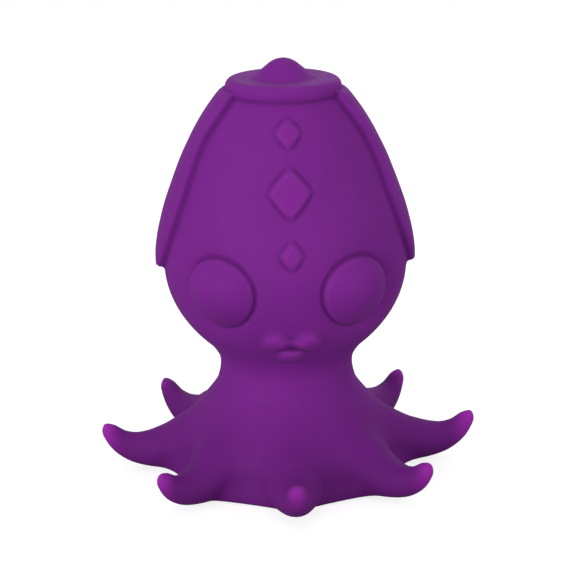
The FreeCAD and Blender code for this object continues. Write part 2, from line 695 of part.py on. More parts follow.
def motor_magnets():
    """Two curved magnets against the can's wall."""
    inner = ARMATURE_RADIUS + 2 * HEAD_GAP
    outer = MOTOR_RADIUS - MOTOR_WALL - FIT_GAP
    ring = tube(outer, inner, MAGNET_RING_LENGTH, along_x(MAGNET_RING_START), X_AXIS)
    size = (2 * HEAD_WIDEST, 2 * MOTOR_RADIUS, MOTOR_RADIUS / 2)
    return ring.cut(block(size, (0, 0, MOTOR_HEIGHT - size[2] / 2)))


def motor_armature():
    """Three wound poles on the shaft."""
    core = rod(ARMATURE_RADIUS, ARMATURE_LENGTH, along_x(ARMATURE_START), X_AXIS)
    width, inner = WINDING_SLOT
    slots = []
    for i in range(POLES):
        slot = block((2 * HEAD_WIDEST, width, ARMATURE_RADIUS), (0, 0, inner))
        slot.rotate(ORIGIN, X_AXIS, i * 360.0 / POLES)
        slot.translate(along_x(0))
        slots.append(slot)
    return core.cut(slots + [shaft_bore()])


def shaft_bore():
    return rod(MOTOR_SHAFT, 2 * HEAD_WIDEST, along_x(-HEAD_WIDEST), X_AXIS)


def motor_shaft():
    return rod(MOTOR_SHAFT, SHAFT_LENGTH, along_x(MOTOR_BACK - END_CAP_THICKNESS + EASY_GAP), X_AXIS)


def eccentric_weight():
    """A half disc on a hub, all its mass on one side of the shaft."""
    disc = rod(WEIGHT_RADIUS, WEIGHT_LENGTH, along_x(WEIGHT_START), X_AXIS)
    size = (2 * HEAD_WIDEST, 2 * WEIGHT_RADIUS, WEIGHT_RADIUS)
    half = disc.common(block(size, (0, 0, MOTOR_HEIGHT - WEIGHT_RADIUS)))
    hub = rod(WEIGHT_HUB, WEIGHT_LENGTH, along_x(WEIGHT_START), X_AXIS)
    return merged(half, [hub]).cut(shaft_bore())


def motor_sleeve():
    start = along_x(MOTOR_RIBS[0] - RIB_THICKNESS)
    return tube(SLEEVE_RADIUS, MOTOR_RADIUS + RUNNING_GAP, SLEEVE_LENGTH, start, X_AXIS)


# ---------------------------------------------------------------- boards and wiring
def main_board():
    return rod(BOARD_RADIUS, BOARD_THICKNESS, Vector(0, 0, BOARD_BOTTOM))


def on_board(x, y, across, deep, high):
    """A block standing on the board's upper face."""
    return block((across, deep, high), (x, y, BOARD_BOTTOM + BOARD_THICKNESS))


def tact_switch():
    """The switch's body, with a recess that its stem slides in."""
    depth = STEM_SUNK + BUTTON_TRAVEL + 2 * HOLE_GAP
    body = on_board(0, 0, SWITCH_SIZE, SWITCH_SIZE, SWITCH_TOP - BOARD_BOTTOM - BOARD_THICKNESS)
    return body.cut(rod(STEM_RADIUS + EASY_GAP, depth, Vector(0, 0, SWITCH_TOP - depth)))


def board_chips():
    return Part.makeCompound([on_board(*chip) for chip in CHIPS])


def status_led():
    return on_board(*LED)


def wire_sockets():
    height = SOCKET_SIZE[2]
    return Part.makeCompound([block(SOCKET_SIZE, (x, y, BOARD_BOTTOM - height)) for x, y in SOCKETS.values()])


def pair_of_leads(points, spread):
    """Two leads side by side, each moved half the spread along X or Y."""
    dx, dy = spread
    return [lead([(x + side * dx / 2, y + side * dy / 2, z) for x, y, z in points]) for side in (1, -1)]


def socket_end(name):
    """Where a pair of leads goes into its socket under the main board."""
    x, y = SOCKETS[name]
    return x, y, BOARD_BOTTOM - SOCKET_SIZE[2]


def motor_leads():
    end = socket_end("motor")
    tab = MOTOR_BACK - END_CAP_THICKNESS - TERMINAL_SIZE[0] / 2
    start = (tab, end[1], MOTOR_HEIGHT + 2 * TERMINAL_SIZE[2])
    route = [(x, end[1], z) for x, z in MOTOR_LEAD_ROUTE]
    return pair_of_leads([start] + route + [end], (0, LEAD_SPREAD))


def cell_leads():
    end = socket_end("cell")
    start = (end[0], CELL_LEAD_START, protection_bottom() + PROTECTION_THICKNESS)
    route = [(end[0], y, z) for y, z in CELL_LEAD_ROUTE]
    return pair_of_leads([start] + route + [end], (LEAD_SPREAD, 0))


def charge_leads():
    """From the charging board up past the cell, round the motor's front and up to the main board."""
    start = (LEAD_BAY[0], LEAD_BAY[1], CHARGE_BOARD[1] + CHARGE_BOARD[2])
    return pair_of_leads([start] + CHARGE_LEAD_ROUTE + [socket_end("charge")], (0, CHARGE_LEAD_SPREAD))


# ---------------------------------------------------------------- export
def electric_nodes():
    motor_red, motor_black = motor_leads()
    cell_red, cell_black = cell_leads()
    charge_red, charge_black = charge_leads()
    return {
        "main_board": main_board(),
        "tact_switch": tact_switch(),
        "board_chips": board_chips(),
        "status_led": status_led(),
        "wire_sockets": wire_sockets(),
        "motor_lead_red": motor_red,
        "motor_lead_black": motor_black,
        "battery_lead_red": cell_red,
        "battery_lead_black": cell_black,
        "charge_lead_red": charge_red,
        "charge_lead_black": charge_black,
    }


def motor_nodes():
    return {
        "motor_can": motor_can(),
        "motor_end_cap": motor_end_cap(),
        "motor_terminals": motor_terminals(),
        "motor_bushes": motor_bushes(),
        "motor_magnets": motor_magnets(),
        "motor_armature": motor_armature(),
        "motor_shaft": motor_shaft(),
        "eccentric_weight": eccentric_weight(),
        "motor_sleeve": motor_sleeve(),
    }


def body_nodes():
    whole_casing = casing()
    return {
        "silicone_skin": silicone_skin(),
        "button_dome": button_dome(),
        "button_plunger": button_plunger(),
        "switch_stem": switch_stem(),
        "front_casing": casing_half(whole_casing, -1),
        "rear_casing": casing_half(whole_casing, 1),
        "casing_screws": casing_screws(),
        "base_cover": base_cover(),
        "base_seal": base_seal(),
        "base_screws": base_screws(),
        "charge_contacts": charge_contacts(),
        "charge_magnets": charge_magnets(),
        "charge_board": charge_board(),
        "battery_cell": cell(),
        "battery_pads": cell_pads(),
        "protection_board": protection_board(),
    }


def arm_nodes():
    one_arm = arm()
    return {f"arm_{name}": around(one_arm, i) for i, name in enumerate(ARM_NAMES)}


def main():
    os.makedirs("parts", exist_ok=True)
    nodes = body_nodes() | motor_nodes() | electric_nodes() | arm_nodes()
    for name, shape in nodes.items():
        solids = shape.Solids
        print(f"{name:20s} solids {len(solids)} volume {shape.Volume:10.1f} valid {shape.isValid()}")
        result = solids[0] if len(solids) == 1 else Part.makeCompound(solids)
        result.exportStep(os.path.join("parts", f"{name}.step"))


main()
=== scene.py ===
import json
import math
import bpy
import bmesh
import numpy as np
from mathutils import Matrix, Vector


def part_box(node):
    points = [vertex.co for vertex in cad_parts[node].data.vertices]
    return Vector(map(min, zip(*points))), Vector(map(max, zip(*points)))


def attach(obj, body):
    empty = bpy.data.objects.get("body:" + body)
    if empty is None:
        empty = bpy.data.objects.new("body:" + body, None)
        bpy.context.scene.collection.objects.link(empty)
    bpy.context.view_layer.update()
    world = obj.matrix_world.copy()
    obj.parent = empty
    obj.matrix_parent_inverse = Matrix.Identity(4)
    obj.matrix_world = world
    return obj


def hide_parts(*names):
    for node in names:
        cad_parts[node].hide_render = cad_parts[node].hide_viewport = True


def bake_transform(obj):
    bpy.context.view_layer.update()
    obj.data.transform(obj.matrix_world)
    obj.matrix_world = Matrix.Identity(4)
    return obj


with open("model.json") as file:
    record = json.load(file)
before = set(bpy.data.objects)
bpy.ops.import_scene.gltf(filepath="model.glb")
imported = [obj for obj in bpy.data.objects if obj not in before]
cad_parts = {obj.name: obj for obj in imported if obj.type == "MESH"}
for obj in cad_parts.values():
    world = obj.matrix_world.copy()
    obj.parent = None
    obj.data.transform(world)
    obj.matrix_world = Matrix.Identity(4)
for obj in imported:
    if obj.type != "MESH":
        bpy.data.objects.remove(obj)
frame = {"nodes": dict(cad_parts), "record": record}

scene = bpy.context.scene
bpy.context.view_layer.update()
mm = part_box("button_dome")[1][2] / 110.0    # the figure is sculpted at 110 mm tall
print("frame loaded, one sculpting unit is", round(mm, 6), "m")


# ---- camera, light and floor
cameraPlan = {
    "distance": 433.4,      # from the head's axis, level
    "height": 186.4,
    "turn": 3.0,            # degrees, towards the viewer's left
    "aimSide": 0.5,
    "aimHeight": 49.3,
    "roll": -0.65,
    "lens": 108.9,
}


def makeCamera(plan):
    turn = math.radians(plan["turn"])
    place = Vector((-math.sin(turn), -math.cos(turn), 0)) * plan["distance"] * mm
    place.z = plan["height"] * mm
    data = bpy.data.cameras.new("camera")
    data.lens = plan["lens"]
    data.sensor_width = 36
    data.clip_start = 0.01
    camera = bpy.data.objects.new("camera", data)
    look = Vector((plan["aimSide"], 0, plan["aimHeight"])) * mm - place
    camera.rotation_mode = "QUATERNION"
    roll = Matrix.Rotation(math.radians(plan["roll"]), 3, "Z")
    camera.rotation_quaternion = (look.to_track_quat("-Z", "Y").to_matrix() @ roll).to_quaternion()
    camera.location = place
    scene.collection.objects.link(camera)
    scene.camera = camera


lightPlan = {
    "key": {"place": (-0.42, -0.50, 0.16), "size": 0.40, "power": 2.1},
    "fill": {"place": (0.52, -0.34, 0.12), "size": 0.45, "power": 1.0},
    "top": {"place": (-0.05, 0.0, 0.62), "size": 0.50, "power": 0.45},
    "back": {"place": (0.15, 0.55, 0.35), "size": 0.45, "power": 0.5},
}


def makeLight(name, plan):
    data = bpy.data.lights.new(name, "AREA")
    data.shape = "DISK"
    data.size = plan["size"]
    data.energy = plan["power"]
    lamp = bpy.data.objects.new(name, data)
    lamp.location = plan["place"]
    aim = Vector((0, 0, 0.05)) - Vector(plan["place"])
    lamp.rotation_euler = aim.to_track_quat("-Z", "Y").to_euler()
    scene.collection.objects.link(lamp)


# ---- shader helpers
class Num:
    # a number socket that works in sums
    def __init__(self, shader, socket):
        self.shader = shader
        self.socket = socket

    def math(self, kind, first, second):
        node = self.shader.add("ShaderNodeMath", {"operation": kind}, {0: first, 1: second})
        return Num(self.shader, node.outputs[0])

    def __add__(self, other):
        return self.math("ADD", self, other)

    def __sub__(self, other):
        return self.math("SUBTRACT", self, other)

    def __rsub__(self, other):
        return self.math("SUBTRACT", other, self)

    def __mul__(self, other):
        return self.math("MULTIPLY", self, other)

    __radd__ = __add__
    __rmul__ = __mul__


class Shader:
    def __init__(self, name):
        self.material = bpy.data.materials.new(name)
        self.material.use_nodes = True
        self.tree = self.material.node_tree
        self.surface = self.tree.nodes["Principled BSDF"]
        self.place = self.add("ShaderNodeTexCoord").outputs["Object"]

    def add(self, kind, settings=None, values=None):
        node = self.tree.nodes.new(kind)
        for key, value in (settings or {}).items():
            if key == "stops":
                self.setStops(node.color_ramp, value)
            else:
                setattr(node, key, value)
        for key, value in (values or {}).items():
            self.put(node.inputs[key], value)
        return node

    def put(self, socket, value):
        if isinstance(value, Num):
            value = value.socket
        if isinstance(value, bpy.types.NodeSocket):
            self.tree.links.new(value, socket)
        else:
            socket.default_value = value

    def setStops(self, ramp, stops):
        while len(ramp.elements) < len(stops):
            ramp.elements.new(0.5)
        for element, (position, level) in zip(ramp.elements, stops):
            element.position = position
            element.color = (level, level, level, 1)

    def noise(self, scale, detail=3.0, place=None, rough=0.5):
        values = {"Vector": place or self.place, "Scale": scale, "Detail": detail, "Roughness": rough}
        return Num(self, self.add("ShaderNodeTexNoise", None, values).outputs[0])

    def ramp(self, value, stops):
        node = self.add("ShaderNodeValToRGB", {"stops": stops}, {0: value})
        return Num(self, node.outputs[0])

    def mix(self, amount, first, second):
        node = self.add("ShaderNodeMix", {"data_type": "RGBA"}, {0: amount, 6: rgba(first), 7: rgba(second)})
        return node.outputs[2]

    def attribute(self, name):
        return Num(self, self.add("ShaderNodeAttribute", {"attribute_name": name}).outputs["Fac"])

    def stretched(self, scale):
        values = {"Vector": self.place, "Scale": scale}
        return self.add("ShaderNodeMapping", None, values).outputs[0]

    def bump(self, height, strength, depth):
        values = {"Height": height, "Strength": strength, "Distance": depth}
        self.put(self.surface.inputs["Normal"], self.add("ShaderNodeBump", None, values).outputs[0])

    def set(self, **values):
        for name, value in values.items():
            socket = self.surface.inputs[socketNames[name]]
            self.put(socket, rgba(value) if socket.type == "RGBA" else value)


socketNames = {
    "color": "Base Color", "roughness": "Roughness", "metallic": "Metallic", "ior": "IOR",
    "scatter": "Subsurface Weight", "scatterRadius": "Subsurface Radius", "scatterScale": "Subsurface Scale",
    "sheen": "Sheen Weight", "sheenRoughness": "Sheen Roughness", "sheenTint": "Sheen Tint",
    "coat": "Coat Weight", "glowColor": "Emission Color", "glow": "Emission Strength",
    "specular": "Specular IOR Level",
}


def rgba(color):
    return (*color, 1.0) if isinstance(color, tuple) and len(color) == 3 else color


# ---- the skin as one implicit surface, sculpted in millimetres
def curveThrough(points, samples=1600):
    # a smooth function through given (position, value) points
    x, y = np.array(points, float).T
    slope = np.gradient(y, x)
    fine = np.linspace(x[0], x[-1], samples)
    i = np.clip(np.searchsorted(x, fine) - 1, 0, len(x) - 2)
    step = x[i + 1] - x[i]
    t = (fine - x[i]) / step
    rise = (1 + 2 * t) * (1 - t) ** 2 * y[i] + t * t * (3 - 2 * t) * y[i + 1]
    lean = t * (1 - t) ** 2 * slope[i] + t * t * (t - 1) * slope[i + 1]
    value = rise + lean * step
    return lambda where: np.interp(where, fine, value)


def steepness(curve, where, reach=0.4):
    # how much a radial gap shrinks when it is measured square to the curve
    slope = (curve(where + reach) - curve(where - reach)) / (2 * reach)
    return 1 / np.sqrt(1 + slope * slope)


def ease(value, low, high):
    t = np.clip((value - low) / (high - low), 0, 1)
    return t * t * (3 - 2 * t)


def joined(a, b, blend):
    gap = np.maximum(blend - np.abs(a - b), 0)
    return np.minimum(a, b) - gap * gap / (4 * blend)


def kept(a, b, blend):
    gap = np.maximum(blend - np.abs(a - b), 0)
    return np.maximum(a, b) + gap * gap / (4 * blend)


bodyPlan = {
    # height and radius of the foot, neck and head between the arms
    "outline": [(-4, 28.8), (0, 28.5), (2.5, 28.0), (5.5, 26.9), (9, 25.3), (13, 23.6), (17, 22.0),
                (20, 20.7), (22, 19.6), (24, 18.5), (26, 17.85), (28, 17.45), (30, 17.35), (32, 17.75),
                (34, 18.85), (36, 20.4), (38, 22.5), (40, 24.4), (44, 27.4), (48, 29.5), (52, 30.8),
                (56, 31.4), (60, 31.5), (64, 31.0), (68, 30.1), (72, 29.0), (76, 27.6), (80, 26.1),
                (84, 24.5), (88, 22.6), (92, 20.5), (96, 18.0), (100, 15.0), (103, 12.4)],
    "top": 101.6,
    "topRound": 1.0,
    "hemRound": 1.2,
}
bodyCurve = curveThrough(bodyPlan["outline"])

flapPlan = {
    "proud": 2.1,
    "round": 1.5,
    "blend": 1.0,
    # height and half width in degrees, measured from the side of the head
    "edge": [(56.3, 0), (56.7, 4.5), (57.4, 8.2), (58.6, 11.4), (60.5, 14.2), (64, 17.8), (70, 21.4),
             (76, 23.0), (82, 23.0), (88, 22.6), (92, 23.4), (96, 26), (100, 28.5), (104, 31)],
    "bottom": 56.1,
    "top": 102.6,
}
flapCurve = curveThrough(flapPlan["edge"])

crownPlan = {
    "ringRadius": 11.4, "ringHeight": 102.7, "ringWide": 3.35, "ringTall": 2.2, "ringRound": 2.0,
    # distance from the axis and height of the dome's top
    "bell": [(-1, 109.7), (0, 109.8), (1.5, 109.6), (3, 108.95), (4.5, 107.8), (6, 106.55), (7.2, 105.6),
             (8.3, 104.95), (9.4, 104.5), (10.6, 104.3), (12.5, 104.25), (14.5, 104.0)],
    "bellWidth": 12.0,
    "bellDepth": 3.0,       # how far it goes into the head
    "blend": 1.0,
    "bodyBlend": 0.55,
}
bellCurve = curveThrough(crownPlan["bell"])

facePlan = {
    "fadeStart": 1.25, "fadeEnd": 1.45,     # the face ends at these turns from the front, in radians
    "eyeTurn": 34.9, "eyeCentre": -1.5, "eyeHeight": 55.8, "eyeLong": 10.5, "eyeShort": 9.15,
    "eyeLean": 100.0, "eyeReach": 31.2, "eyeDome": 3.9, "eyeStep": 0.25,
    "eyeGroove": 0.5, "eyeGrooveWidth": 0.7, "eyeGrooveOut": 0.2, "outerGroove": 0.7,
    "eyeCore": 0.3, "coreDepth": -6.0,      # near the middle the distance to the rim isn't worked out
    "socket": 0.45, "socketOuter": 0.9, "socketReach": 3.2, "outerLean": 0.35, "outerHalf": 9,
    # height, width and length of each diamond
    "diamonds": [(94.5, 4.9, 6.4), (81.1, 8.9, 11.1), (66.6, 4.3, 5.7)],
    "diamondProud": 1.05, "diamondEdge": 0.8, "diamondMoat": 0.12, "moatPlace": 0.9,
    "cornerRound": 1.3, "cornerShift": 0.72,
    # turn in millimetres, height, half sizes and rise of each soft lobe
    "lobes": [(4.0, 43.6, 3.0, 2.7, 2.5), (-4.1, 43.6, 3.0, 2.7, 2.5), (0.0, 43.0, 3.0, 1.8, 0.7),
              (-0.1, 38.9, 3.2, 2.2, 2.4)],
    "mouthHeight": 41.7, "mouthWidth": 3.0, "mouthDepth": 1.0, "mouthThin": 0.6, "mouthArch": 0.085,
    "mouthFade": 1.2,
}

armPlan = {
    # distance from the axis, height and radius along the middle of an arm
    "line": [(14, 11.0, 6.2), (20, 9.6, 7.1), (26, 7.6, 7.0), (31.5, 6.0, 5.9), (36.5, 5.4, 4.9),
             (41, 6.0, 4.0), (44.3, 7.7, 3.2), (46.4, 9.8, 2.5), (47.6, 11.3, 2.0), (48.4, 12.5, 1.6)],
    "tip": 2.6,         # length over which the end rounds off
    "narrow": [(24, 0.86), (36, 0.98), (45, 1.25)],     # how much sideways distances count, by distance out
    "top": 34,          # no arm reaches higher
    "blend": 6.5,
    "webBlend": 8.5,
    "hemWeb": 9.0,      # more web towards the hem
    "hemWebTop": 7,
    "cut": 28.8,        # where each arm's own piece starts
    "cutTop": 30,
    "bent": 37.0,       # where it fully follows its joint
}

hollowPlan = {"neck": 15.0, "neckTop": 31.0, "foot": 19.8, "footTop": 6.3, "wall": 2.3, "roof": 98.9,
              "well": 6.4, "wellTop": 103.1}


def armTable(pitch=0.2, samples=600):
    # the arm's middle line, and for each place in its plane the nearest distance along that line
    line = np.array(armPlan["line"], float)
    along = np.concatenate([[0], np.cumsum(np.hypot(*np.diff(line[:, :2], axis=0).T))])
    where = np.linspace(0, along[-1], samples)
    out, up, radius = [curveThrough(list(zip(along, line[:, i])))(where) for i in range(3)]
    end = np.clip(1 - (along[-1] - where) / armPlan["tip"], 0, 1)
    radius = radius * np.sqrt(1 - end * end)
    s, z = np.meshgrid(np.arange(0, 76, pitch), np.arange(-6, 40, pitch), indexing="ij")
    best, nearest = np.full(s.shape, 1e9), np.zeros(s.shape)
    for w, a, b in zip(where, out, up):
        gap = (s - a) ** 2 + (z - b) ** 2
        closer = gap < best
        best[closer], nearest[closer] = gap[closer], w
    return {"pitch": pitch, "nearest": nearest, "where": where, "out": out, "up": up, "radius": radius}


arms = armTable()


def armField(along, across, z):
    u, v = along / arms["pitch"], (z + 6) / arms["pitch"]
    i = np.clip(u.astype(int), 0, arms["nearest"].shape[0] - 2)
    j = np.clip(v.astype(int), 0, arms["nearest"].shape[1] - 2)
    fu, fv = u - i, v - j
    near = arms["nearest"]
    place = ((near[i, j] * (1 - fu) + near[i + 1, j] * fu) * (1 - fv)
             + (near[i, j + 1] * (1 - fu) + near[i + 1, j + 1] * fu) * fv)
    out, up, radius = [np.interp(place, arms["where"], arms[key]) for key in ("out", "up", "radius")]
    narrow = np.interp(out, *np.array(armPlan["narrow"]).T)
    return np.sqrt((along - out) ** 2 + (z - up) ** 2 + (across * narrow) ** 2) - radius


def armsField(r, turn, z):
    eighth = math.pi / 4
    off = np.abs((turn + eighth / 2) % eighth - eighth / 2)
    own = armField(r * np.cos(off), r * np.sin(off), z)
    beside = armField(r * np.cos(eighth - off), r * np.sin(eighth - off), z)
    web = armPlan["webBlend"] + armPlan["hemWeb"] * ease(-z, -armPlan["hemWebTop"], 0)
    return joined(own, beside, web)


def eyeRise(turn, z):
    p = facePlan
    u = (np.abs(turn - math.radians(p["eyeCentre"])) - math.radians(p["eyeTurn"])) * p["eyeReach"]
    v = z - p["eyeHeight"]
    lean = math.radians(p["eyeLean"])
    long = (u * math.sin(lean) + v * math.cos(lean)) / p["eyeLong"]
    short = (u * math.cos(lean) - v * math.sin(lean)) / p["eyeShort"]
    e = np.hypot(long, short) + 1e-6
    edge = (e - 1) * e / (np.hypot(long / p["eyeLong"], short / p["eyeShort"]) + 1e-6)
    edge = np.where(e < p["eyeCore"], p["coreDepth"], edge)
    outer = ease(u - p["outerLean"] * v, -p["outerHalf"], p["outerHalf"])
    fall = np.exp(-(np.maximum(edge, 0) / p["socketReach"]) ** 2)
    socket = -(p["socket"] + p["socketOuter"] * outer) * fall
    dome = p["eyeDome"] * np.clip(1 - e * e, 0, 1)
    step = p["eyeStep"] * ease(-edge, -0.2, 0.7)
    depth = p["eyeGroove"] * (1 + (p["outerGroove"] - 1) * outer)
    groove = -depth * np.exp(-((edge - p["eyeGrooveOut"]) / p["eyeGrooveWidth"]) ** 2)
    return socket + dome + step + groove


def diamondRise(turn, z, lean):
    p = facePlan
    rise = 0
    u = np.sqrt((turn * bodyCurve(z)) ** 2 + p["cornerRound"]) - p["cornerShift"]
    for height, width, length in p["diamonds"]:
        v = np.sqrt(((z - height) / lean) ** 2 + p["cornerRound"]) - p["cornerShift"]
        half, tall = width / 2, length / 2
        edge = (u / half + v / tall - 1) * half * tall / math.hypot(half, tall)
        rise = rise + p["diamondProud"] * ease(-edge, -p["diamondEdge"], p["diamondEdge"])
        rise = rise - p["diamondMoat"] * np.exp(-((edge - p["moatPlace"]) / p["moatPlace"]) ** 2)
    return rise


def mouthRise(turn, z):
    p = facePlan
    u = turn * bodyCurve(z)
    rise = 0
    for side, height, wide, tall, high in p["lobes"]:
        far = ((u - side) / wide) ** 2 + ((z - height) / tall) ** 2
        rise = rise + high * np.exp(-far ** 1.5)
    line = z - p["mouthHeight"] + p["mouthArch"] * u * u
    wide, fade = p["mouthWidth"], p["mouthFade"]
    groove = np.exp(-(line / p["mouthThin"]) ** 2) * ease(-np.abs(u), -wide - fade, -wide + fade)
    return rise - p["mouthDepth"] * groove


def faceRise(turn, z, lean):
    front = ease(-np.abs(turn), -facePlan["fadeEnd"], -facePlan["fadeStart"])
    return front * (eyeRise(turn, z) + diamondRise(turn, z, lean) + mouthRise(turn, z))


def flapField(plain, turn, z):
    p = flapPlan
    side = np.abs(np.abs(turn) - math.pi / 2)
    wide = np.radians(flapCurve(z))
    reach = bodyCurve(z)
    edge = (side - wide) * reach
    slope = np.radians(flapCurve(z + 0.3) - flapCurve(z - 0.3)) / 0.6 * reach
    edge = edge / np.sqrt(1 + slope * slope)
    edge = np.maximum(edge, np.maximum(p["bottom"] - z, z - p["top"]))
    return kept(plain - p["proud"], edge, p["round"])


def crownField(r, z):
    p = crownPlan
    wide = np.abs(r - p["ringRadius"]) - p["ringWide"] + p["ringRound"]
    tall = np.abs(z - p["ringHeight"]) - p["ringTall"] + p["ringRound"]
    ring = np.hypot(np.maximum(wide, 0), np.maximum(tall, 0)) + np.minimum(np.maximum(wide, tall), 0)
    ring = ring - p["ringRound"]
    bell = (z - bellCurve(r)) * steepness(bellCurve, r)
    bell = np.maximum(np.maximum(bell, r - p["bellWidth"]), bodyPlan["top"] - p["bellDepth"] - z)
    return joined(ring, bell, p["blend"])


def hollowField(r, z, plain):
    p = hollowPlan
    neck = np.maximum(r - p["neck"], z - p["neckTop"])
    foot = np.maximum(r - p["foot"], z - p["footTop"])
    head = np.maximum(np.maximum(plain + p["wall"], p["neckTop"] - 0.5 - z), z - p["roof"])
    well = np.maximum(np.maximum(r - p["well"], p["roof"] - 0.5 - z), z - p["wellTop"])
    return np.minimum(np.minimum(neck, foot), np.minimum(head, well))


def skinField(x, y, z):
    # negative inside the silicone
    r = np.hypot(x, y)
    turn = np.arctan2(x, -y)
    lean = steepness(bodyCurve, z)
    plain = (r - bodyCurve(z)) * lean
    body = plain - faceRise(turn, z, lean) * lean
    body = kept(body, z - bodyPlan["top"], bodyPlan["topRound"])
    body = joined(body, flapField(plain, turn, z), flapPlan["blend"])
    body = joined(body, crownField(r, z), crownPlan["bodyBlend"])
    low = z < armPlan["top"]
    if np.any(low):
        reach = np.full_like(body, 1e3)
        reach[low] = armsField(r[low], turn[low], z[low])
        body = joined(body, reach, armPlan["blend"])
    body = kept(body, -z, bodyPlan["hemRound"])
    return np.maximum(body, -hollowField(r, z, plain))


# ---- meshing
gridPlan = {
    "step": 0.5, "quickStep": 0.9,
    "armReach": 52.0, "headReach": 36.0, "headStart": 33,
    "bottom": -1.6, "top": 111.5,
    "slab": 16,
    "outside": 9.0,         # the value where nothing is sampled
    "triangles": 185000,    # the most that one piece gets
}


def sampleField(step):
    p = gridPlan
    low = np.array([-p["armReach"], -p["armReach"], p["bottom"]])
    high = np.array([p["armReach"], p["armReach"], p["top"]])
    x, y, z = [np.arange(a, b, step, dtype=np.float32) for a, b in zip(low, high)]
    grid = np.full((len(x), len(y), len(z)), p["outside"], np.float32)
    for k in range(0, len(z), p["slab"]):
        reach = p["armReach"] if z[k] < p["headStart"] else p["headReach"]
        i0, i1 = np.searchsorted(x, [-reach, reach])
        part = np.meshgrid(x[i0:i1], y[i0:i1], z[k:k + p["slab"]], indexing="ij")
        grid[i0:i1, i0:i1, k:k + p["slab"]] = skinField(*part)
    return grid, low


def netFromGrid(grid, low, step):
    # surface nets: one point in each cell that the surface crosses, one quad on each crossed edge
    inside = grid < 0
    corners = [(i, j, k) for i in (0, 1) for j in (0, 1) for k in (0, 1)]
    nx, ny, nz = grid.shape
    count = np.zeros((nx - 1, ny - 1, nz - 1), np.int8)
    for i, j, k in corners:
        count += inside[i:nx - 1 + i, j:ny - 1 + j, k:nz - 1 + k]
    cells = np.argwhere((count > 0) & (count < 8))
    number = np.full(count.shape, -1, np.int32)
    number[tuple(cells.T)] = np.arange(len(cells))
    total, hits = np.zeros((len(cells), 3)), np.zeros(len(cells))
    for a in corners:
        for axis in range(3):
            if a[axis]:
                continue
            b = tuple(1 if n == axis else a[n] for n in range(3))
            fa = grid[tuple((cells + a).T)]
            fb = grid[tuple((cells + b).T)]
            crossed = (fa < 0) != (fb < 0)
            t = np.where(crossed, fa / np.where(crossed, fa - fb, 1), 0)
            point = np.array(a) + t[:, None] * (np.array(b) - np.array(a))
            total += point * crossed[:, None]
            hits += crossed
    points = low + (cells + total / hits[:, None]) * step
    quads = []
    for axis in range(3):
        b, c = (axis + 1) % 3, (axis + 2) % 3
        here = [slice(0, n) for n in grid.shape]
        there = list(here)
        here[axis] = slice(0, grid.shape[axis] - 1)
        there[axis] = slice(1, grid.shape[axis])
        first, second = inside[tuple(here)], inside[tuple(there)]
        edges = np.argwhere(first != second)
        edges = edges[(edges[:, b] > 0) & (edges[:, c] > 0)]
        ring = []
        for db, dc in ((1, 1), (0, 1), (0, 0), (1, 0)):
            cell = edges.copy()
            cell[:, b] -= db
            cell[:, c] -= dc
            ring.append(number[tuple(cell.T)])
        quad = np.array(ring).T
        outward = first[tuple(edges.T)]
        quads.append(np.where(outward[:, None], quad, quad[:, ::-1]))
    return points, np.concatenate(quads)


def gradient(points, reach=0.12):
    result = np.empty_like(points)
    for axis in range(3):
        step = np.zeros(3)
        step[axis] = reach
        ahead, behind = points + step, points - step
        result[:, axis] = (skinField(*ahead.T) - skinField(*behind.T)) / (2 * reach)
    return result


def settle(points, quads, rounds=3, even=0.6, farthest=0.4, flattest=0.2):
    # evens the net out along the surface and pulls every point onto it
    for _ in range(rounds):
        middle = points[quads].mean(axis=1)
        total, hits = np.zeros_like(points), np.bincount(quads.ravel(), minlength=len(points))
        for axis in range(3):
            total[:, axis] = np.bincount(quads.ravel(), np.repeat(middle[:, axis], 4), len(points))
        points = (1 - even) * points + even * total / hits[:, None]
        slope = gradient(points)
        size = np.maximum((slope ** 2).sum(axis=1), flattest)
        move = skinField(*points.T) / size
        points = points - np.clip(move, -farthest, farthest)[:, None] * slope
    return points


def unitRows(rows):
    return rows / np.maximum(np.linalg.norm(rows, axis=1), 1e-9)[:, None]


# ---- arms: small lifts, so that no two arms are quite alike, and the cut into pieces
armNames = ["front", "front_right", "right", "back_right", "back", "back_left", "left", "front_left"]
# degrees up, millimetres out and how much wider
armLifts = {
    "front": (1.5, -1.8, 1.3),
    "front_right": (0.3, -0.4, 1.05),
    "right": (2.0, 1.4, 1.0),
    "back_right": (1.2, 0.2, 1.2),
    "back": (1.0, 0.0, 1.1),
    "back_left": (1.0, -1.5, 1.2),
    "left": (0.0, 0.3, 1.0),
    "front_left": (-2.0, -1.2, 1.05),
}
hinge = {"out": 29.0, "height": 6.3}


def sectorOf(points):
    turn = np.arctan2(points[:, 0], -points[:, 1])
    return np.round(turn / (math.pi / 4)).astype(int) % 8


def outwards(i):
    turn = i * math.pi / 4
    return np.array([math.sin(turn), -math.cos(turn), 0.0])


